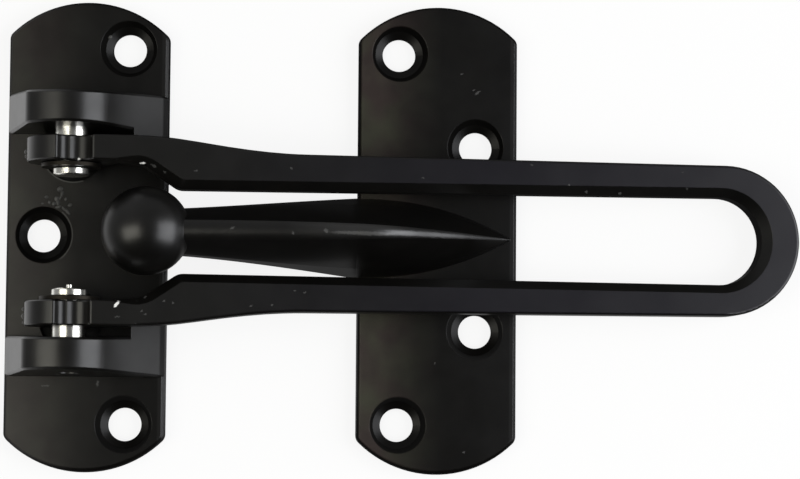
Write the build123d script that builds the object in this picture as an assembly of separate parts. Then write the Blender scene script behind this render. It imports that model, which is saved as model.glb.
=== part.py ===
from build123d import *
import os
from math import acos, asin, atan2, cos, degrees, hypot, radians, sin, sqrt, tan

os.makedirs("parts", exist_ok=True)

# Swing-bar door guard, laid out as it is used with the door shut. Millimetres, +Z up from the wall.
# The origin is the centre of the hinge plate's back, and +X runs towards the end of the bar's loop.

# Both plates: the face is slightly crowned, so the long edges are thinner than the middle
PLATE_W = 25.2
PLATE_L = 73.8
PLATE_T = 3.0
EDGE_T = 2.4
CROWN_R = ((PLATE_W / 2) ** 2 + (PLATE_T - EDGE_T) ** 2) / (2 * (PLATE_T - EDGE_T))
END_RISE = 5.4
CORNER_R = 1.6
PLATE_DRAFT = 5.0
PLATE_EDGE = 0.4
PLATE_PITCH = 54.9

# Screw holes: throat, and the bend of the hollow seat between its shallow floor and its steep wall
HOLE_R = 2.6
THROAT_TOP = 1.05
BEND_R = 3.75
BEND_Z = 1.65
SINK_R = 4.55
HINGE_HOLES = [(6.3, 29.4), (-6.8, 0.0), (6.3, -29.4)]
BALL_HOLES = [(-6.2, 29.2), (6.0, 14.5), (6.0, -14.5), (-6.2, -29.2)]

# Hinge axis, parallel to Y
PIN_X = -2.0
PIN_Z = 9.1
SHANK_R = 2.55
RUN_GAP = 0.05

# Lugs, with drafted faces: measured from the middle of the plate outwards
LUG_X = -2.6
LUG_R = 8.2
LUG_CROWN_Z = 16.2
LUG_CENTRE_Z = LUG_CROWN_Z - LUG_R
LUG_CORNER = 47.0
LUG_CORNER_R = 3.0
LUG_FOOT_Z = PLATE_T / 2
LUG_FOOT_X = PLATE_W / 2 - 0.25
LUG_IN_BASE = 15.8
LUG_IN_CROWN = 16.4
LUG_OUT_BASE = 22.0
LUG_OUT_CROWN = 21.2
LUG_EDGE = 0.35
SHELF_X = 7.5
SHELF_IN = 12.4

# Pockets that clear the eyes
POCKET_R = 4.9
POCKET_X = -2.2
POCKET_Y = 13.3
POCKET_DEPTH = 1.5

# Eyes of the bar
EYE_R = 6.8
EYE_IN = 10.7
EYE_OUT = 14.5
EYE_EDGE = 0.2
# the two flutes across the crown of an eye: u, v and radius
FLUTES = [(-0.7, 6.5, 1.5), (0.85, 6.8, 2.1)]
FLUTE_EDGE_R = 0.45

# Pins and washers
HEAD_R = 2.8
HEAD_IN = 8.7
HEAD_OUT = 9.95
HEAD_CHAMFER = 0.2
PIP_R = 0.5
PIP_LEN = 0.6
SHANK_END = 17.6
SPIGOT_R = 1.6
SPIGOT_END = 21.5
WASHER_R = 4.6
WASHER_T = 0.6
WASHER_BORE_GAP = 0.12

# Bar, in its own frame: u runs along the bar from the hinge axis, v is its upward normal
BAR_T = 5.0
BAR_TOP = EYE_R
BAR_UNDER = BAR_TOP - BAR_T
LOOP_U = 101.8
LOOP_R = 11.8
SLOT_END_U = 101.0
SLOT_END_R = 6.9
NECK_U = 16.4
NECK_HALF = 6.45
NECK_R = 2.5
OPEN_U = 10.8
OPEN_HALF = 10.2
OPEN_R = 4.0
ROOT_U = 10.0
ROOT_R = 3.0
SHOULDER_U = 21.5
SHOULDER_HALF = 13.35
WAIST_U = 36.0
WAIST_HALF = 12.1
BEVEL = 1.35
BEVEL_DEPTH = 1.6
BEVEL_START_U = 5.0
BEVEL_START_HALF = 9.3
BAR_EDGE_R = 0.45
UNDER_EDGE = 0.35

# Ball and stem
BALL_R = 6.8
BALL_X = 9.8
BALL_Z = 13.5
CREST_SAG = 0.35
# Stations of the stem: X, crest half width and level, foot of the steep side, widest line, underside
STEM_JOIN = (42.0, 1.2, 17.1, 5.0, 6.4, 6.3, 2.1, 5.9, 0.3)
STEM_OVER_GAP = [
    (12.0, 1.5, 16.8, 3.2, 12.4, 3.5, 11.4, 2.0, 8.6),
    (22.0, 1.5, 17.2, 3.9, 11.4, 4.2, 10.2, 2.7, 6.9),
    (32.0, 1.4, 17.4, 4.6, 9.3, 5.2, 7.1, 4.0, 4.1),
    STEM_JOIN,
]
STEM_ON_PLATE = [
    STEM_JOIN,
    (50.0, 0.85, 15.3, 4.6, 6.0, 5.95, 2.4, 5.8, 0.3),
    (58.0, 0.5, 10.0, 3.1, 5.0, 4.05, 2.4, 4.0, 0.3),
    (66.3, 0.08, 2.9, 0.14, 2.75, 0.2, 2.2, 0.18, 0.3),
]

# How far a cutter runs past what it cuts
OVER = 1.0


def across(profile, y0, y1):
    """Prism of an XZ profile between two planes square to Y."""
    return extrude(Plane.XZ.offset(-y0) * profile, amount=y0 - y1)


def rod(radius, y0, y1):
    """Round bar on the hinge axis between two planes square to Y."""
    return Pos(PIN_X, (y0 + y1) / 2, PIN_Z) * Rot(90, 0, 0) * Cylinder(radius, abs(y1 - y0))


def screw_hole(x, y):
    """Cutter for a screw hole: a straight throat, and a hollow seat that turns up steeply to the face."""
    profile = make_face(Polyline(
        (0, THROAT_TOP), (HOLE_R, THROAT_TOP), (BEND_R, BEND_Z), (SINK_R, PLATE_T), (0, PLATE_T), close=True))
    seat = revolve(Plane.XZ * profile, Axis.Z)
    throat = Pos(0, 0, PLATE_T / 2) * Cylinder(HOLE_R, PLATE_T + 2 * OVER)
    return Pos(x, y, 0) * (throat + seat)


def base_plate():
    """Crowned plate with straight sides and arched ends, drafted, and broken at its upper edge."""
    half_w = PLATE_W / 2
    half_l = PLATE_L / 2
    shoulder = half_l - END_RISE
    right = Line((half_w, -shoulder), (half_w, shoulder))
    top = ThreePointArc((half_w, shoulder), (0, half_l), (-half_w, shoulder))
    left = Line((-half_w, shoulder), (-half_w, -shoulder))
    bottom = ThreePointArc((-half_w, -shoulder), (0, -half_l), (half_w, -shoulder))
    outline = make_face(right + top + left + bottom)
    outline = fillet(outline.vertices(), CORNER_R)
    plate = extrude(outline, amount=PLATE_T, taper=PLATE_DRAFT)
    plate &= Pos(0, 0, PLATE_T - CROWN_R) * Rot(90, 0, 0) * Cylinder(CROWN_R, 2 * PLATE_L)
    rim = plate.faces().sort_by(Axis.Z)[-1].edges()
    return chamfer(rim, PLATE_EDGE)


def ramp_angle():
    """Direction, above +X, of the normal of the ramp that leaves the crown as a tangent."""
    run = LUG_FOOT_X - LUG_X
    rise = EDGE_T - LUG_CENTRE_Z
    return atan2(rise, run) + acos(LUG_R / hypot(run, rise))


def ramp_z(x):
    """Level of the ramp above the wall plane."""
    return EDGE_T + (LUG_FOOT_X - x) / tan(ramp_angle())


def lug_profile():
    """Side view of a lug: round crown, steep flank past an eased corner, and a ramp on the bar's side."""
    corner = radians(LUG_CORNER)
    left_end = (LUG_X - LUG_R * sin(corner), LUG_CENTRE_Z + LUG_R * cos(corner))
    touch_x = LUG_X + LUG_R * cos(ramp_angle())
    right_end = (touch_x, ramp_z(touch_x))
    crown = ThreePointArc(left_end, (LUG_X, LUG_CROWN_Z), right_end)
    ramp = Polyline(right_end, (LUG_FOOT_X, EDGE_T), (LUG_FOOT_X, LUG_FOOT_Z))
    flank = Polyline((LUG_FOOT_X, LUG_FOOT_Z), (-LUG_FOOT_X, LUG_FOOT_Z), (-LUG_FOOT_X, EDGE_T), left_end)
    face = make_face(crown + ramp + flank)
    return fillet(face.vertices().sort_by_distance((left_end[0], left_end[1], 0))[0], LUG_CORNER_R)


def lug():
    """One lug of the upper side, with both faces drafted and the edges along its profile broken."""
    body = across(lug_profile(), LUG_IN_BASE - OVER, LUG_OUT_BASE + OVER)
    draft = Polyline(
        (LUG_IN_BASE, LUG_FOOT_Z), (LUG_IN_BASE, PLATE_T), (LUG_IN_CROWN, LUG_CROWN_Z),
        (LUG_IN_CROWN, LUG_CROWN_Z + OVER), (LUG_OUT_CROWN, LUG_CROWN_Z + OVER),
        (LUG_OUT_CROWN, LUG_CROWN_Z), (LUG_OUT_BASE, PLATE_T), (LUG_OUT_BASE, LUG_FOOT_Z), close=True)
    body &= extrude(Plane.YZ * make_face(draft), amount=PLATE_W, both=True)
    rims = body.edges().filter_by(Axis.Y, reverse=True).filter_by(lambda e: e.center().Z > PLATE_T)
    return chamfer(rims, LUG_EDGE)


def shelf():
    """The part of the ramp that runs on under the bar, past the square end of the eye's recess."""
    profile = Polyline(
        (SHELF_X, LUG_FOOT_Z), (SHELF_X, ramp_z(SHELF_X)), (LUG_FOOT_X, EDGE_T), (LUG_FOOT_X, LUG_FOOT_Z),
        close=True)
    return across(make_face(profile), SHELF_IN, LUG_IN_BASE + OVER)


def hinge_plate():
    """The frame-side casting: plate, lugs, pockets, stepped pin bores and three screw holes."""
    upper = lug() + shelf()
    plate = base_plate()
    for side in (1, -1):
        plate -= Pos(POCKET_X, side * POCKET_Y, PLATE_T) * Cylinder(POCKET_R, 2 * POCKET_DEPTH)
    plate += upper
    plate += mirror(upper, Plane.XZ)
    for side in (1, -1):
        plate -= rod(SHANK_R, side * (LUG_IN_BASE - OVER), side * SHANK_END)
        plate -= rod(SPIGOT_R, side * SHANK_END, side * (LUG_OUT_BASE + OVER))
    for x, y in HINGE_HOLES:
        plate -= screw_hole(x, y)
    return plate


def hinge_pin(side):
    """Steel pin: head on the inner side, shank through the eye, spigot in the lug."""
    head = rod(HEAD_R, side * HEAD_IN, side * HEAD_OUT)
    head = chamfer(head.edges().filter_by(GeomType.CIRCLE), HEAD_CHAMFER)
    if side < 0:
        # the lower pin alone keeps the pip that its turning left
        head += rod(PIP_R, side * (HEAD_IN - PIP_LEN), side * HEAD_IN)
    shank = rod(SHANK_R, side * HEAD_OUT, side * SHANK_END)
    spigot = rod(SPIGOT_R, side * SHANK_END, side * SPIGOT_END)
    return head + shank + spigot


def washer(side):
    """Thin steel washer that lies against the pin's head, beside the eye."""
    ring = rod(WASHER_R, side * HEAD_OUT, side * (HEAD_OUT + WASHER_T))
    return ring - rod(SHANK_R + WASHER_BORE_GAP, side * HEAD_IN, side * EYE_OUT)


def bar_outline():
    """Plan of the whole bar without its slot: wide at the eyes, waisted, and round at the loop."""
    root = Line((0, EYE_OUT), (ROOT_U, EYE_OUT))
    taper = (WAIST_HALF - LOOP_R) / (LOOP_U - WAIST_U)
    shoulder = Spline(
        (ROOT_U, EYE_OUT), (SHOULDER_U, SHOULDER_HALF), (WAIST_U, WAIST_HALF), tangents=[(1, 0), (1, -taper)])
    run = Line((WAIST_U, WAIST_HALF), (LOOP_U, LOOP_R))
    upper = root + shoulder + run
    loop = ThreePointArc((LOOP_U, LOOP_R), (LOOP_U + LOOP_R, 0), (LOOP_U, -LOOP_R))
    back = Line((0, EYE_OUT), (0, -EYE_OUT))
    return make_face(upper + loop + mirror(upper, Plane.XZ) + back)


def slot_outline(start_u, start_half):
    """Plan of the slot: wide round the ball, then a slant to the narrow run and a round end."""
    side = Polyline((start_u, start_half), (OPEN_U, OPEN_HALF), (NECK_U, NECK_HALF), (SLOT_END_U, SLOT_END_R))
    end = ThreePointArc((SLOT_END_U, SLOT_END_R), (SLOT_END_U + SLOT_END_R, 0), (SLOT_END_U, -SLOT_END_R))
    back = Line((start_u, start_half), (start_u, -start_half))
    face = make_face(side + end + mirror(side, Plane.XZ) + back)
    for u, half, radius in ((OPEN_U, OPEN_HALF, OPEN_R), (NECK_U, NECK_HALF, NECK_R)):
        for sign in (1, -1):
            corner = face.vertices().sort_by_distance((u, sign * half, 0))[0]
            face = fillet(corner, radius)
    return face


def eye_profile():
    """Side view of an eye and the root of its arm, with two flutes across its crown and a round underneath."""
    face = Circle(EYE_R) + Pos(ROOT_U / 2, (BAR_TOP + BAR_UNDER) / 2) * Rectangle(ROOT_U, BAR_T)
    corner_u = sqrt(EYE_R ** 2 - BAR_UNDER ** 2)
    corner = face.vertices().sort_by_distance((corner_u, BAR_UNDER, 0))[0]
    face = fillet(corner, ROOT_R)
    for u, v, radius in FLUTES:
        face -= Pos(u, v) * Circle(radius)
    first, last = FLUTES
    for rim_u in (first[0] - first[2], last[0] + last[2]):
        rim = face.vertices().sort_by_distance((rim_u, BAR_TOP, 0))[0]
        face = fillet(rim, FLUTE_EDGE_R)
    return face


def eye(side):
    """One eye with broken edges, and the cutter for its bore."""
    block = across(eye_profile(), side * EYE_IN, side * EYE_OUT)
    sides = block.faces().filter_by(Axis.Y).edges()
    block = chamfer(sides.filter_by(lambda e: e.center().X < ROOT_U - OVER / 2), EYE_EDGE)
    bore = Pos(0, side * (EYE_IN + EYE_OUT) / 2, 0) * Rot(90, 0, 0) * Cylinder(SHANK_R + RUN_GAP, EYE_OUT)
    return block, bore


def swing_bar():
    """The looped bar in its own frame, level, with the hinge axis as its origin."""
    arms = extrude(Pos(0, 0, BAR_UNDER) * bar_outline(), amount=BAR_T)
    top_rim = arms.faces().sort_by(Axis.Z)[-1].edges().filter_by(lambda e: e.center().X > OVER)
    arms = fillet(top_rim, BAR_EDGE_R)
    slot = Pos(0, 0, BAR_UNDER - OVER) * slot_outline(EYE_R - OVER, EYE_IN)
    arms -= extrude(slot, amount=BAR_T + 2 * OVER)
    # the arms start at the rim of the eyes, and the eyes' own roots reach into them
    arms -= Box(2 * EYE_R, 4 * EYE_OUT, 4 * EYE_R)
    low_rim = arms.faces().sort_by(Axis.Z)[0].edges().filter_by(lambda e: e.center().X > ROOT_U)
    arms = chamfer(low_rim, UNDER_EDGE)
    for side in (1, -1):
        block, bore = eye(side)
        arms += block
        arms -= bore
    bevel_foot = Pos(0, 0, BAR_TOP - BEVEL_DEPTH) * slot_outline(BEVEL_START_U, BEVEL_START_HALF)
    return arms - extrude(bevel_foot, amount=BEVEL_DEPTH, taper=-degrees(atan2(BEVEL, BEVEL_DEPTH)))


def rest_tilt():
    """Angle by which the bar slopes down when the underside of its loop touches the wall plane."""
    reach = LOOP_U + LOOP_R
    return asin(PIN_Z / hypot(reach, BAR_UNDER)) + atan2(BAR_UNDER, reach)


def stem_section(x, crest_half, crest_z, side_half, side_z, wide_half, wide_z, low_half, low_z):
    """Section of the stem across X: rounded crest, steep sides, flared foot, and underside."""
    edge_z = crest_z - CREST_SAG * crest_half
    crest = ThreePointArc((-crest_half, edge_z), (0, crest_z), (crest_half, edge_z))
    rest = Polyline(
        (crest_half, edge_z), (side_half, side_z), (wide_half, wide_z), (low_half, low_z),
        (-low_half, low_z), (-wide_half, wide_z), (-side_half, side_z), (-crest_half, edge_z))
    return Plane.YZ.offset(x) * make_face(crest + rest)


def stem():
    """The spear: slender at the ball, deep and flared over the gap, running out to a point."""
    over_gap = loft([stem_section(*row) for row in STEM_OVER_GAP])
    return over_gap + loft([stem_section(*row) for row in STEM_ON_PLATE])


def ball_plate():
    """The door-side casting: plate, stem, ball and four screw holes."""
    plate = Pos(PLATE_PITCH, 0, 0) * base_plate()
    for x, y in BALL_HOLES:
        plate -= screw_hole(PLATE_PITCH + x, y)
    # the sphere's poles lie along the stem
    return plate + stem() + Pos(BALL_X, 0, BALL_Z) * Rot(0, 90, 0) * Sphere(BALL_R)


def main():
    tilt = degrees(rest_tilt())
    hinge_axis = Axis((PIN_X, 0, PIN_Z), (0, 1, 0))
    nodes = {
        "hinge_plate": hinge_plate(),
        "ball_plate": ball_plate(),
        "swing_bar": (Pos(PIN_X, 0, PIN_Z) * swing_bar()).rotate(hinge_axis, tilt),
        "upper_hinge_pin": hinge_pin(1),
        "lower_hinge_pin": hinge_pin(-1),
        "upper_washer": washer(1),
        "lower_washer": washer(-1),
    }
    for name, shape in nodes.items():
        export_step(shape, f"parts/{name}.step")
    print("rest tilt of the bar, degrees:", round(tilt, 3))


main()
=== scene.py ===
import math

import bmesh
import bpy
from mathutils import Matrix, Vector, noise


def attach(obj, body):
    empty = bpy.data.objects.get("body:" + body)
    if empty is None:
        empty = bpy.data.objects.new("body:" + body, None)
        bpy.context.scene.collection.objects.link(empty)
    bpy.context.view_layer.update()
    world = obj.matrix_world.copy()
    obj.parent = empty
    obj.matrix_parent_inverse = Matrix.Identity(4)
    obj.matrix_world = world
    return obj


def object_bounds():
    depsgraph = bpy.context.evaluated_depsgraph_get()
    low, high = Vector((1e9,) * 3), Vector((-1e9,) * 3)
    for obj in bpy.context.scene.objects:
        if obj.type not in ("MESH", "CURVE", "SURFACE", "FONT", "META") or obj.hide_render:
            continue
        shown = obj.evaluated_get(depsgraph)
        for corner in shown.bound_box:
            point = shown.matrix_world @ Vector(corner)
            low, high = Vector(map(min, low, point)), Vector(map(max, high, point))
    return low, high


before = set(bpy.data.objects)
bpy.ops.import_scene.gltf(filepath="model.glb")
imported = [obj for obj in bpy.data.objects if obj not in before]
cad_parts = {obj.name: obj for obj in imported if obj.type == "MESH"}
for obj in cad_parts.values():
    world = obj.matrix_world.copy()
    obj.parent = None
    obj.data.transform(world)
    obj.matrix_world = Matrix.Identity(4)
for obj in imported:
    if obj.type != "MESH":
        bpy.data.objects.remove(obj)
cad_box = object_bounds()

# Swing-bar door guard, seen from straight in front of the wall that it hangs on.
# Lengths are in metres unless a comment says mm, angles are in degrees, and colours are linear.
# A list of pairs is a ramp: places or other values, and the level at each.
MM = 0.001
WHITE = (1, 1, 1, 1)

# Camera: almost square to the wall, turned a little about X, Y and Z
CAMERA_PLACE = (0.0318, -0.0310, 0.4151)
CAMERA_TURN = (4.26, -2.42, 0.43)
CAMERA_LENS = 118.72
SENSOR_WIDTH = 36.0
CLIP_NEAR = 0.01
CLIP_FAR = 20.0

# Soft lights: where each stands, its width and height, its radiance and its colour
LOOK_AT = (0.02, 0.0, 0.01)
SOFT_LIGHTS = {
    "warm_light": ((-0.35, -0.09, 0.53), (0.32, 0.50), 3.2, (1.0, 0.975, 0.86)),
    "cool_light": ((0.60, -0.04, 0.36), (0.54, 0.60), 4.2, (0.95, 0.965, 1.0)),
}

# Surroundings as gloss sees them: dim, paler towards +Y and -X. The rest gets an even light.
DIM = 0.10
PALER_TO_Y = 0.24
PALER_TO_LEFT = 0.14
EVEN_LIGHT = 0.40

# Floor: its colour, its own light for the camera, and the level that gloss sees by X and by Y. To
# gloss it is bright just left of the hinge plate, half lit below the stem, and in shadow elsewhere.
FLOOR_COLOUR = (0.88, 0.88, 0.88, 1)
FLOOR_GLOW = 0.86
FLOOR_LEVEL_BY_X = [(-0.055, 0.30), (-0.024, 1.0), (-0.0135, 1.0), (-0.0125, 0.03)]
FLOOR_LEVEL_BY_Y = [(-0.034, 0.03), (-0.024, 0.22), (-0.007, 0.22), (-0.003, 0.03)]
FLOOR_HALF = 1.5
FLOOR_GAP = 0.0003

# Black coat on the castings, with its edges eased by a hair
COAT_COLOUR = {
    "hinge_plate": (0.0014, 0.0014, 0.0014, 1),
    "ball_plate": (0.0014, 0.0014, 0.0015, 1),
    "swing_bar": (0.0014, 0.0014, 0.0014, 1),
}
COAT_ROUGHNESS = (0.27, 0.38)
COAT_GLOSS = 0.5
EDGE_ROUND = 0.14 * MM
EDGE_SAMPLES = 4

# Noise textures and reliefs of the finishes
PATCHES = {"Scale": 160.0, "Detail": 3.0, "Roughness": 0.6}
CLOUDS = {"Scale": 240.0, "Detail": 4.0, "Roughness": 0.65}
WIDE_CLOUDS = {"Scale": 150.0, "Detail": 2.0, "Roughness": 0.5}
GRAIN = {"Scale": 2600.0, "Detail": 2.0, "Roughness": 0.55}
GRAIN_RELIEF = {"Strength": 0.12, "Distance": 0.02 * MM}
STAINS = {"Scale": 700.0, "Detail": 3.0}
RINGS = {"Scale": 5000.0, "Detail": 2.0}
RINGS_STRETCH = (0.08, 1.0, 0.08)
RINGS_RELIEF = {"Strength": 0.25, "Distance": 0.02 * MM}
LUMP_GRAIN = {"Scale": 3200.0, "Detail": 3.0}
LUMP_RELIEF = {"Strength": 0.5, "Distance": 0.05 * MM}

# The mix node's sockets for numbers and for colours: first, second and result
MIX_SOCKETS = {"FLOAT": (2, 3, 0), "RGBA": (6, 7, 2)}

# Painted cool highlight: the bar turns slightly bluish towards its loop, where it faces away from
# the wall, for the cool light's reflection. Facing is the Z of the surface's normal.
PAINTED_COOL_SHEEN = (0.0020, 0.0014, 0.0043, 1)
PAINTED_COOL_SHEEN_FROM = [(0.018, 0.0), (0.060, 1.0)]
PAINTED_COOL_SHEEN_FACING = [(0.80, 0.0), (0.97, 1.0)]

# Each plate's face falls away from its middle line, whose X is in mm, by this much times the square
# of the distance
PLATE_MIDDLE = {"hinge_plate": 0.0, "ball_plate": 54.9}
CROWN_PER_METRE = 3.7

# Gloss of the plates by height over that fall: least in their hollows, little and uneven on their
# faces, and full above. Their right-hand edges, by distance from the middle line, keep theirs.
GLOSS_BY_HEIGHT = [(0.0, 0.17), (0.0028, 0.17), (0.00292, 0.29), (0.0032, 0.29), (0.0036, 0.50)]
GLOSS_CLOUDS = 0.7
EDGE_GLOSS = [(0.0110, 0.0), (0.0115, 0.50)]

# The lugs' ramps are matter and reflect more
RAMP_FROM = [(0.0045, 0.0), (0.0082, 1.0)]
RAMP_ABOVE = [(0.0031, 0.0), (0.0034, 1.0)]
RAMP_ROUGHNESS = 0.26
RAMP_GLOSS = 0.36

# The top of the stem's crest is glossier where it flares
CREST_GLOSS = [(0.031, 0.0), (0.039, 0.70), (0.046, 0.60), (0.053, 0.0)]
CREST_ABOVE = [(0.010, 0.0), (0.014, 1.0)]
CREST_FACING = [(0.75, 0.0), (0.92, 1.0)]

# Thin, brownish coat: a trace of it everywhere, as random tone. More on the plates' faces, by X and
# by height, is a painted warm highlight for the warm light's reflection on their left parts. Its
# tint goes from reddish to greenish over this span of the wide clouds.
THIN_COAT = (0.036, 0.031, 0.023, 1)
PAINTED_WARM_SHEEN_GREENISH = (0.033, 0.033, 0.022, 1)
PAINTED_WARM_SHEEN_REDDISH = (0.036, 0.026, 0.024, 1)
THIN_TRACE = 0.09
PAINTED_WARM_SHEEN_BY_X = {
    "hinge_plate": [(-0.0126, 0.36), (-0.0070, 0.24), (-0.0010, 0.03), (0.0030, 0.0)],
    "ball_plate": [(0.0420, 0.92), (0.0460, 0.80), (0.0490, 0.42), (0.0515, 0.20), (0.0555, 0.0)],
}
PAINTED_WARM_SHEEN_BY_HEIGHT = [(0.0, 0.0), (0.00275, 0.0), (0.0029, 1.0), (0.0032, 1.0), (0.0036, 0.0)]
TINT_CLOUDS = (0.38, 0.62)

# Worn marks, and one painted highlight, the long mark along the stem's crest, for the cool light's
# reflection there: centre, half length and half width in mm, and turn. Depth is half their reach in
# Z, in mm, wander is how far their ragged outlines stray, and fade is the two multiples of their
# size between which they fade in.
MARK_DEPTH = 0.9
MARK_NOISE = {"Scale": 4200.0, "Detail": 2.0}
MARK_WANDER = 0.56 * MM
MARK_FADE = (1.15, 0.75)
WORN_AND_GLINT_COLOUR = (0.050, 0.050, 0.049, 1)
WORN_MARKS_AND_GLINT = {
    "hinge_plate": [
        (-6.0, -23.5, 2.9, 0.65, 0.13, 4), (-3.8, -21.8, 7.0, 0.30, 0.22, 0),
        (-0.7, -21.8, 7.4, 0.34, 0.24, 0), (2.1, -23.1, 3.0, 0.45, 0.20, 70),
        (-7.9, 20.5, 2.8, 0.25, 0.10, 20),
    ],
    "ball_plate": [
        (61.1, 23.2, 2.9, 0.55, 0.16, 35), (60.5, 23.6, 2.9, 0.25, 0.09, 20),
        (58.6, 26.1, 3.0, 0.30, 0.10, 25), (54.6, -19.5, 3.0, 0.22, 0.13, 60),
        (59.2, -33.3, 2.9, 0.24, 0.14, 10), (23.1, 0.3, 17.2, 0.42, 0.12, 25),
        (32.2, -0.4, 17.4, 0.14, 0.28, 0), (37.2, 0.0, 17.3, 0.30, 0.34, 40),
        # painted highlight: the long last mark on the next line lies along the stem's crest, for
        # the cool light's reflection
        (65.2, -8.8, 2.6, 0.20, 0.16, 0), (43.6, -0.30, 16.9, 6.2, 0.30, -1),
    ],
    "swing_bar": [
        (25.9, -11.3, 13.2, 0.24, 0.14, 30), (29.1, -11.1, 12.9, 0.20, 0.14, 0),
        (34.1, -9.1, 12.5, 0.26, 0.12, 15), (32.6, -8.9, 12.6, 0.20, 0.12, 0),
        (12.8, -10.7, 14.5, 0.26, 0.16, 20), (14.1, -11.0, 14.4, 0.18, 0.14, 0),
        (9.9, -10.1, 13.6, 0.30, 0.16, 40), (8.6, -10.6, 14.9, 0.18, 0.12, 0),
        (9.4, -12.3, 14.9, 0.30, 0.12, 35), (10.0, -12.8, 14.8, 0.22, 0.14, 0),
        (5.8, -13.2, 15.2, 0.45, 0.09, 0), (17.3, 9.2, 14.1, 0.30, 0.11, 10),
        (31.8, 9.9, 12.7, 0.20, 0.20, 0), (52.1, 8.8, 10.7, 0.24, 0.10, 15),
        (69.1, 11.2, 9.1, 0.20, 0.10, 0), (75.0, 8.2, 8.5, 0.18, 0.12, 0),
        (77.8, 7.3, 7.2, 0.30, 0.12, 0), (83.2, 7.2, 6.6, 0.26, 0.12, 0),
        (92.9, 10.6, 6.8, 0.20, 0.10, 20), (93.7, 8.0, 6.4, 0.20, 0.12, 0),
        (3.2, 10.7, 9.4, 0.85, 0.16, 0), (6.9, 10.7, 13.4, 0.75, 0.16, 0),
        (10.9, 9.9, 14.1, 0.50, 0.16, -30), (12.6, 8.9, 14.2, 0.30, 0.14, -50),
    ],
}

# Marks worn down to bright metal
BARE_COLOUR = (0.80, 0.80, 0.78, 1)
BARE_MARKS = {
    "swing_bar": [
        (5.7, -11.3, 15.2, 0.62, 0.22, 52), (9.2, 10.3, 13.3, 0.46, 0.16, 0),
        (-0.5, 10.8, 13.6, 0.20, 0.18, 0),
    ],
}

# Painted highlights on arcs of the hinge plate's rims, where their edges catch the light: centre,
# radius and half width in mm, and middle and half span of arc
RIM_GLINT_COLOUR = (0.060, 0.060, 0.056, 1)
RIM_GLINTS_ABOVE = 2.5 * MM
PAINTED_RIM_GLINTS = [(-2.2, 13.3, 5.02, 0.10, 238, 50), (-6.8, 0.0, 4.66, 0.07, -2, 52)]

# Bare steel: the nodes that have it, its colour and the range of its roughness. The washers' colour
# is far darker than steel's, as painted shade for the shade they lie in by the bar's eyes and arms.
STEEL = {
    "bright_steel": (("upper_hinge_pin", "lower_hinge_pin"), (0.82, 0.81, 0.76, 1), (0.16, 0.28)),
    # painted shade: the washers' colour is darkened for the shade they lie in
    "washer_steel": (("upper_washer", "lower_washer"), (0.026, 0.023, 0.019, 1), (0.38, 0.55)),
}

# Rough lumps of the casting: centre and half sizes in mm, and turn. Those on the hinge plate have
# no height of their own, because they lie on its surface, the last one in its upper screw seat.
PLATE_LUMPS = [
    (-4.2, 7.2, 0.50, 0.40, 0.14, 20), (-3.9, 6.5, 0.24, 0.50, 0.12, -10),
    (-4.7, 5.7, 0.42, 0.36, 0.14, 50), (-4.5, 5.1, 0.30, 0.60, 0.16, 8),
    (-6.3, 5.9, 0.32, 0.28, 0.12, 0), (-2.6, 4.7, 0.36, 0.30, 0.13, 30),
    (-4.4, 4.4, 0.52, 0.24, 0.14, 15), (-5.1, 4.9, 0.36, 0.30, 0.13, 60),
    (-5.8, 5.1, 0.24, 0.28, 0.11, 0), (-3.5, 4.1, 0.26, 0.48, 0.15, 35),
    (-3.0, 3.7, 0.26, 0.70, 0.15, 40), (-3.3, 5.6, 0.18, 0.26, 0.10, 0),
    (-4.1, 5.9, 0.18, 0.40, 0.11, -25), (-6.9, 4.9, 0.22, 0.18, 0.09, 0),
    (3.1, 31.4, 0.40, 0.32, 0.30, 30),
]
EYE_STUBS = [
    (-8.75, 12.3, 9.0, 0.52, 0.46, 0.55, 0), (-8.75, 11.6, 9.3, 0.40, 0.34, 0.45, 0),
    (-8.75, -11.9, 9.1, 0.44, 0.40, 0.50, 0), (-8.75, -13.0, 9.0, 0.54, 0.52, 0.50, 0),
    (-8.75, -14.0, 9.2, 0.40, 0.30, 0.40, 0),
]
LUMP_ROUNDS = 3
LUMP_NOISE_SCALE = 2300.0
LUMP_NOISE_SEED = 7
LUMP_ROUGHEN = 0.06 * MM
LUMP_COLOUR = (0.046, 0.046, 0.044, 1)
LUMP_ROUGHNESS = (0.35, 0.60)


def new_object(name, data):
    """A new object in the scene."""
    thing = bpy.data.objects.new(name, data)
    bpy.context.scene.collection.objects.link(thing)
    return thing


def camera():
    """The camera of the main view."""
    data = bpy.data.cameras.new("camera")
    data.sensor_width = SENSOR_WIDTH
    data.lens = CAMERA_LENS
    data.clip_start = CLIP_NEAR
    data.clip_end = CLIP_FAR
    cam = new_object("camera", data)
    cam.location = CAMERA_PLACE
    cam.rotation_euler = [math.radians(angle) for angle in CAMERA_TURN]
    bpy.context.scene.camera = cam


def soft_light(name, place, size, radiance, colour):
    """A rectangular soft light of a given radiance that faces the object."""
    width, height = size
    data = bpy.data.lights.new(name, "AREA")
    data.shape = "RECTANGLE"
    data.size = width
    data.size_y = height
    # a lamp's power is its radiance times its area times pi
    data.energy = radiance * width * height * math.pi
    data.color = colour
    light = new_object(name, data)
    light.location = place
    to_object = Vector(LOOK_AT) - Vector(place)
    light.rotation_euler = to_object.to_track_quat("-Z", "Y").to_euler()


def new_tree(owner):
    """The emptied node tree of a material or world."""
    owner.use_nodes = True
    owner.node_tree.nodes.clear()
    return owner.node_tree


def put(tree, value, socket):
    """Links another node's socket, or sets a plain value."""
    if isinstance(value, bpy.types.NodeSocket):
        tree.links.new(value, socket)
    else:
        socket.default_value = value


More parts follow.
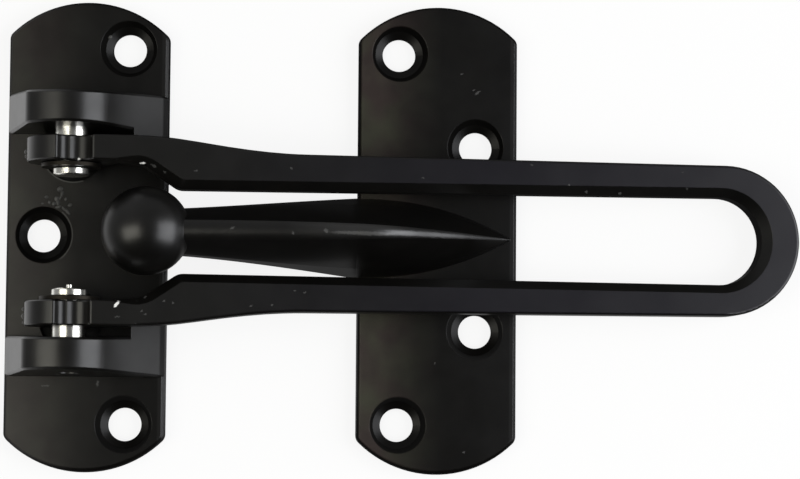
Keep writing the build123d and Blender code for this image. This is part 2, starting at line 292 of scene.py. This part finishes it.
def add(tree, kind, **values):
    """A new node. Each value goes to the node's setting of that name, or else to its input."""
    node = tree.nodes.new(kind)
    for key, value in values.items():
        if hasattr(node, key):
            setattr(node, key, value)
        else:
            put(tree, value, node.inputs[key.replace("_", " ")])
    return node


def output(tree, kind, shader):
    """Sends a shader to the surface of a material or world."""
    put(tree, shader.outputs[0], add(tree, kind).inputs["Surface"])


def coordinates(tree, kind):
    """Place or direction of the shaded point."""
    return add(tree, "ShaderNodeTexCoord").outputs[kind]


def axes(tree, vector):
    """The X, Y and Z of a vector."""
    return tuple(add(tree, "ShaderNodeSeparateXYZ", Vector=vector).outputs)


def maths(tree, operation, *values):
    """The result of a maths node."""
    node = add(tree, "ShaderNodeMath", operation=operation)
    for value, socket in zip(values, node.inputs):
        put(tree, value, socket)
    return node.outputs[0]


def product(tree, result, *factors):
    """Several numbers multiplied."""
    for factor in factors:
        result = maths(tree, "MULTIPLY", result, factor)
    return result


def vector_maths(tree, operation, *values):
    """The results of a vector maths node."""
    node = add(tree, "ShaderNodeVectorMath", operation=operation)
    for value, socket in zip(values, node.inputs):
        put(tree, value, socket)
    return node.outputs


def mixed(tree, share, first, second, kind="FLOAT"):
    """Number, or colour, that goes from the first to the second as the share goes from 0 to 1."""
    first_input, second_input, result = MIX_SOCKETS[kind]
    node = add(tree, "ShaderNodeMix", data_type=kind)
    put(tree, share, node.inputs[0])
    put(tree, first, node.inputs[first_input])
    put(tree, second, node.inputs[second_input])
    return node.outputs[result]


def mixed_colour(tree, share, first, second):
    """Colour that goes from the first to the second as the share goes from 0 to 1."""
    return mixed(tree, share, first, second, kind="RGBA")


def mixed_shader(tree, share, first, second):
    """Shader that goes from the first to the second as the share goes from 0 to 1."""
    node = tree.nodes.new("ShaderNodeMixShader")
    for value, socket in zip((share, first.outputs[0], second.outputs[0]), node.inputs):
        put(tree, value, socket)
    return node


def spread(tree, value, low, high, start=0.0, end=1.0):
    """Number that goes from low to high as the value goes from start to end, and no further."""
    node = add(tree, "ShaderNodeMapRange", Value=value, From_Min=start, From_Max=end, To_Min=low,
               To_Max=high)
    return node.outputs["Result"]


def ramp(tree, value, stops):
    """Level that follows a few stops along a value."""
    start = stops[0][0]
    reach = stops[-1][0] - start
    share = maths(tree, "DIVIDE", maths(tree, "SUBTRACT", value, start), reach)
    node = add(tree, "ShaderNodeValToRGB", Fac=share)
    marks = node.color_ramp.elements
    marks.remove(marks[1])
    for number, (place, level) in enumerate(stops):
        mark = marks.new((place - start) / reach) if number else marks[0]
        mark.color = (level, level, level, 1)
    return node.outputs["Color"]


def noise_at(tree, place, settings, kind="Fac"):
    """A noise texture's value."""
    return add(tree, "ShaderNodeTexNoise", Vector=place, **settings).outputs[kind]


def relief(tree, height, settings, **base):
    """Normal of a surface with a fine relief."""
    return add(tree, "ShaderNodeBump", Height=height, **settings, **base).outputs["Normal"]


def eased_edges(tree):
    """Normal of the surface with its sharp edges slightly rounded."""
    return add(tree, "ShaderNodeBevel", samples=EDGE_SAMPLES, Radius=EDGE_ROUND).outputs["Normal"]


def rays(tree):
    """Whether a ray comes straight from the camera, and whether it comes from gloss."""
    path = add(tree, "ShaderNodeLightPath").outputs
    straight = maths(tree, "MAXIMUM", path["Is Camera Ray"], path["Is Transmission Ray"])
    return straight, path["Is Glossy Ray"]


def surroundings():
    """World: white for the camera, a dim studio in gloss, and even light for the rest."""
    world = bpy.data.worlds.new("studio")
    bpy.context.scene.world = world
    tree = new_tree(world)
    straight, glossy = rays(tree)
    x, y, _ = axes(tree, coordinates(tree, "Generated"))
    left = maths(tree, "MAXIMUM", product(tree, x, -PALER_TO_LEFT), 0.0)
    dim = maths(tree, "MULTIPLY_ADD", y, PALER_TO_Y, maths(tree, "ADD", left, DIM))
    unseen = mixed(tree, glossy, EVEN_LIGHT, maths(tree, "MAXIMUM", dim, 0.0))
    level = mixed(tree, straight, unseen, 1.0)
    glow = add(tree, "ShaderNodeBackground", Color=WHITE, Strength=level)
    output(tree, "ShaderNodeOutputWorld", glow)


def floor():
    """Plain white plane at the plates' backs. It keeps a faint shadow and is clear from behind."""
    mesh = bpy.data.meshes.new("floor")
    h = FLOOR_HALF
    mesh.from_pydata([(-h, -h, 0), (h, -h, 0), (h, h, 0), (-h, h, 0)], [], [(0, 1, 2, 3)])
    plane = new_object("floor", mesh)
    plane.location = (0, 0, -FLOOR_GAP)
    material = bpy.data.materials.new("floor")
    tree = new_tree(material)
    straight, glossy = rays(tree)
    x, y, _ = axes(tree, coordinates(tree, "Object"))
    in_gloss = maths(tree, "MAXIMUM", ramp(tree, x, FLOOR_LEVEL_BY_X),
                     ramp(tree, y, FLOOR_LEVEL_BY_Y))
    level = mixed(tree, glossy, 1.0, in_gloss)
    matt = add(tree, "ShaderNodeBsdfDiffuse", Color=FLOOR_COLOUR)
    glow = add(tree, "ShaderNodeEmission", Color=WHITE, Strength=level)
    own_light = maths(tree, "MAXIMUM", product(tree, straight, FLOOR_GLOW), glossy)
    front = mixed_shader(tree, own_light, matt, glow)
    behind = add(tree, "ShaderNodeNewGeometry").outputs["Backfacing"]
    clear = add(tree, "ShaderNodeBsdfTransparent")
    output(tree, "ShaderNodeOutputMaterial", mixed_shader(tree, behind, front, clear))
    mesh.materials.append(material)


def marks_mask(tree, place, marks):
    """Share that is 1 inside small ragged spots and 0 outside them."""
    wander = noise_at(tree, place, MARK_NOISE, "Color")
    shift = vector_maths(tree, "MULTIPLY_ADD", wander, (MARK_WANDER,) * 3,
                         (-MARK_WANDER / 2,) * 3)["Vector"]
    ragged = vector_maths(tree, "ADD", place, shift)["Vector"]
    nearest = MARK_FADE[0]
    for x, y, z, along, across, turn in marks:
        spot = add(tree, "ShaderNodeMapping", vector_type="TEXTURE", Vector=ragged,
                   Location=(x * MM, y * MM, z * MM), Rotation=(0, 0, math.radians(turn)),
                   Scale=(along * MM, across * MM, MARK_DEPTH * MM))
        away = vector_maths(tree, "LENGTH", spot.outputs["Vector"])["Value"]
        nearest = maths(tree, "MINIMUM", away, nearest)
    return spread(tree, nearest, 0.0, 1.0, *MARK_FADE)


def rim_glints_mask(tree, place):
    """Share that is 1 along the painted highlight arcs of the hinge plate's rims."""
    x, y, z = axes(tree, place)
    marked = 0.0
    for middle_x, middle_y, radius, half, heading, span in PAINTED_RIM_GLINTS:
        east = maths(tree, "SUBTRACT", x, middle_x * MM)
        north = maths(tree, "SUBTRACT", y, middle_y * MM)
        square = maths(tree, "ADD", product(tree, east, east), product(tree, north, north))
        off = maths(tree, "SUBTRACT", maths(tree, "SQRT", square), radius * MM)
        on_rim = maths(tree, "LESS_THAN", maths(tree, "ABSOLUTE", off), half * MM)
        along = maths(tree, "ADD", product(tree, east, math.cos(math.radians(heading))),
                      product(tree, north, math.sin(math.radians(heading))))
        in_span = maths(tree, "GREATER_THAN", along, radius * MM * math.cos(math.radians(span)))
        marked = maths(tree, "MAXIMUM", marked, product(tree, on_rim, in_span))
    return product(tree, marked, maths(tree, "GREATER_THAN", z, RIM_GLINTS_ABOVE))


def plate_coat(tree, piece, place, clouds, colour):
    """Colour and gloss of a plate: a painted warm highlight to the left, and duller faces and
    hollows.
    """
    x, _, z = axes(tree, place)
    off_middle = maths(tree, "SUBTRACT", x, PLATE_MIDDLE[piece] * MM)
    height = maths(tree, "ADD", z, product(tree, off_middle, off_middle, CROWN_PER_METRE))
    wide = noise_at(tree, place, WIDE_CLOUDS)
    # painted warm highlight: a brownish tint on the plates' left faces for the warm light's
    # reflection
    warm_sheen_tint = mixed_colour(tree, spread(tree, wide, 0.0, 1.0, *TINT_CLOUDS), PAINTED_WARM_SHEEN_REDDISH,
                        PAINTED_WARM_SHEEN_GREENISH)
    warm_sheen = product(tree, ramp(tree, x, PAINTED_WARM_SHEEN_BY_X[piece]), ramp(tree, height, PAINTED_WARM_SHEEN_BY_HEIGHT),
                   maths(tree, "ADD", wide, clouds))
    uneven = maths(tree, "MULTIPLY_ADD", wide, GLOSS_CLOUDS, 1 - GLOSS_CLOUDS / 2)
    gloss = maths(tree, "MAXIMUM", product(tree, ramp(tree, height, GLOSS_BY_HEIGHT), uneven),
                  ramp(tree, off_middle, EDGE_GLOSS))
    return mixed_colour(tree, warm_sheen, colour, warm_sheen_tint), gloss


def black_casting(piece):
    """Satin black coat over a zinc casting: faint grain, uneven gloss, eased edges, worn marks, and
    painted highlights.
    """
    material = bpy.data.materials.new("black_" + piece)
    tree = new_tree(material)
    place = coordinates(tree, "Object")
    x, _, z = axes(tree, place)
    facing = axes(tree, coordinates(tree, "Normal"))[2]
    clouds = noise_at(tree, place, CLOUDS)
    colour = mixed_colour(tree, product(tree, clouds, THIN_TRACE), COAT_COLOUR[piece], THIN_COAT)
    roughness = spread(tree, noise_at(tree, place, PATCHES), *COAT_ROUGHNESS)
    gloss = COAT_GLOSS
    if piece in PLATE_MIDDLE:
        colour, gloss = plate_coat(tree, piece, place, clouds, colour)
    if piece == "ball_plate":
        crest = product(tree, ramp(tree, x, CREST_GLOSS), ramp(tree, z, CREST_ABOVE),
                        ramp(tree, facing, CREST_FACING))
        gloss = maths(tree, "ADD", gloss, crest)
    if piece == "swing_bar":
        # painted cool highlight: a bluish tint for the cool light's reflection on the bar
        cool_sheen = product(tree, ramp(tree, x, PAINTED_COOL_SHEEN_FROM), ramp(tree, facing, PAINTED_COOL_SHEEN_FACING))
        colour = mixed_colour(tree, cool_sheen, colour, PAINTED_COOL_SHEEN)
    # worn marks, and a painted highlight along the stem's crest
    marked = marks_mask(tree, place, WORN_MARKS_AND_GLINT[piece])
    colour = mixed_colour(tree, marked, colour, WORN_AND_GLINT_COLOUR)
    if piece == "hinge_plate":
        # painted highlight: light arcs along the rims where their edges catch the light
        colour = mixed_colour(tree, rim_glints_mask(tree, place), colour, RIM_GLINT_COLOUR)
        on_ramp = product(tree, ramp(tree, x, RAMP_FROM), ramp(tree, z, RAMP_ABOVE))
        gloss = maths(tree, "MULTIPLY_ADD", on_ramp, RAMP_GLOSS, gloss)
        roughness = maths(tree, "MULTIPLY_ADD", on_ramp, RAMP_ROUGHNESS, roughness)
    if piece in BARE_MARKS:
        bare = marks_mask(tree, place, BARE_MARKS[piece])
        colour = mixed_colour(tree, bare, colour, BARE_COLOUR)
    normal = relief(tree, noise_at(tree, place, GRAIN), GRAIN_RELIEF, Normal=eased_edges(tree))
    coat = add(tree, "ShaderNodeBsdfPrincipled", Base_Color=colour, Roughness=roughness,
               Specular_IOR_Level=gloss, Normal=normal)
    output(tree, "ShaderNodeOutputMaterial", coat)
    return material


def bare_steel(name, colour, roughness):
    """Turned steel: fine rings round the axis of the pin, uneven gloss."""
    material = bpy.data.materials.new(name)
    tree = new_tree(material)
    place = coordinates(tree, "Object")
    stretched = add(tree, "ShaderNodeMapping", Vector=place, Scale=RINGS_STRETCH).outputs["Vector"]
    rings = noise_at(tree, stretched, RINGS)
    steel = add(tree, "ShaderNodeBsdfPrincipled", Metallic=1.0, Base_Color=colour,
                Roughness=spread(tree, noise_at(tree, place, STAINS), *roughness),
                Normal=relief(tree, rings, RINGS_RELIEF, Normal=eased_edges(tree)))
    output(tree, "ShaderNodeOutputMaterial", steel)
    return material


def rough_casting():
    """Skin of the rough lumps, paler than the coat round them."""
    material = bpy.data.materials.new("rough_casting")
    tree = new_tree(material)
    grain = noise_at(tree, coordinates(tree, "Object"), LUMP_GRAIN)
    skin = add(tree, "ShaderNodeBsdfPrincipled", Base_Color=LUMP_COLOUR,
               Roughness=spread(tree, grain, *LUMP_ROUGHNESS),
               Normal=relief(tree, grain, LUMP_RELIEF))
    output(tree, "ShaderNodeOutputMaterial", skin)
    return material


def surface_height(node, x, y):
    """Height of a node's top face at a place, all in mm."""
    above = Vector((x * MM, y * MM, cad_box[1][2] + MM))
    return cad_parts[node].ray_cast(above, Vector((0, 0, -1)))[1].z / MM


def lumps(name, body, places, material):
    """Small rough lumps of the casting as one mesh that moves with a body."""
    form = bmesh.new()
    for x, y, z, half_x, half_y, half_z, turn in places:
        stand = Matrix.Translation((x * MM, y * MM, z * MM))
        turned = Matrix.Rotation(math.radians(turn), 4, "Z")
        size = Matrix.Diagonal((half_x * MM, half_y * MM, half_z * MM, 1))
        bmesh.ops.create_icosphere(form, subdivisions=LUMP_ROUNDS, radius=1.0,
                                   matrix=stand @ turned @ size)
    # without a seed of its own, this noise differs from run to run
    noise.seed_set(LUMP_NOISE_SEED)
    for corner in form.verts:
        corner.co += noise.noise_vector(corner.co * LUMP_NOISE_SCALE) * LUMP_ROUGHEN
    mesh = bpy.data.meshes.new(name)
    form.to_mesh(mesh)
    form.free()
    mesh.shade_smooth()
    mesh.materials.append(material)
    piece = new_object(name, mesh)
    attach(piece, body)


def all_lumps():
    """The lumps on the hinge plate, and the stubs on the bar's eyes."""
    material = rough_casting()
    on_plate = [(x, y, surface_height("hinge_plate", x, y), *rest) for x, y, *rest in PLATE_LUMPS]
    lumps("plate_lumps", "plates", on_plate, material)
    lumps("eye_stubs", "bar", EYE_STUBS, material)


def dress(nodes, material):
    """Gives CAD nodes a finish."""
    for name in nodes:
        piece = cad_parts[name]
        piece.data.materials.clear()
        piece.data.materials.append(material)


camera()
for light_name, settings in SOFT_LIGHTS.items():
    soft_light(light_name, *settings)
surroundings()
floor()
for casting in COAT_COLOUR:
    dress((casting,), black_casting(casting))
for finish, (steel_nodes, steel_colour, steel_roughness) in STEEL.items():
    dress(steel_nodes, bare_steel(finish, steel_colour, steel_roughness))
all_lumps()
bpy.context.scene.view_settings.view_transform = "Standard"
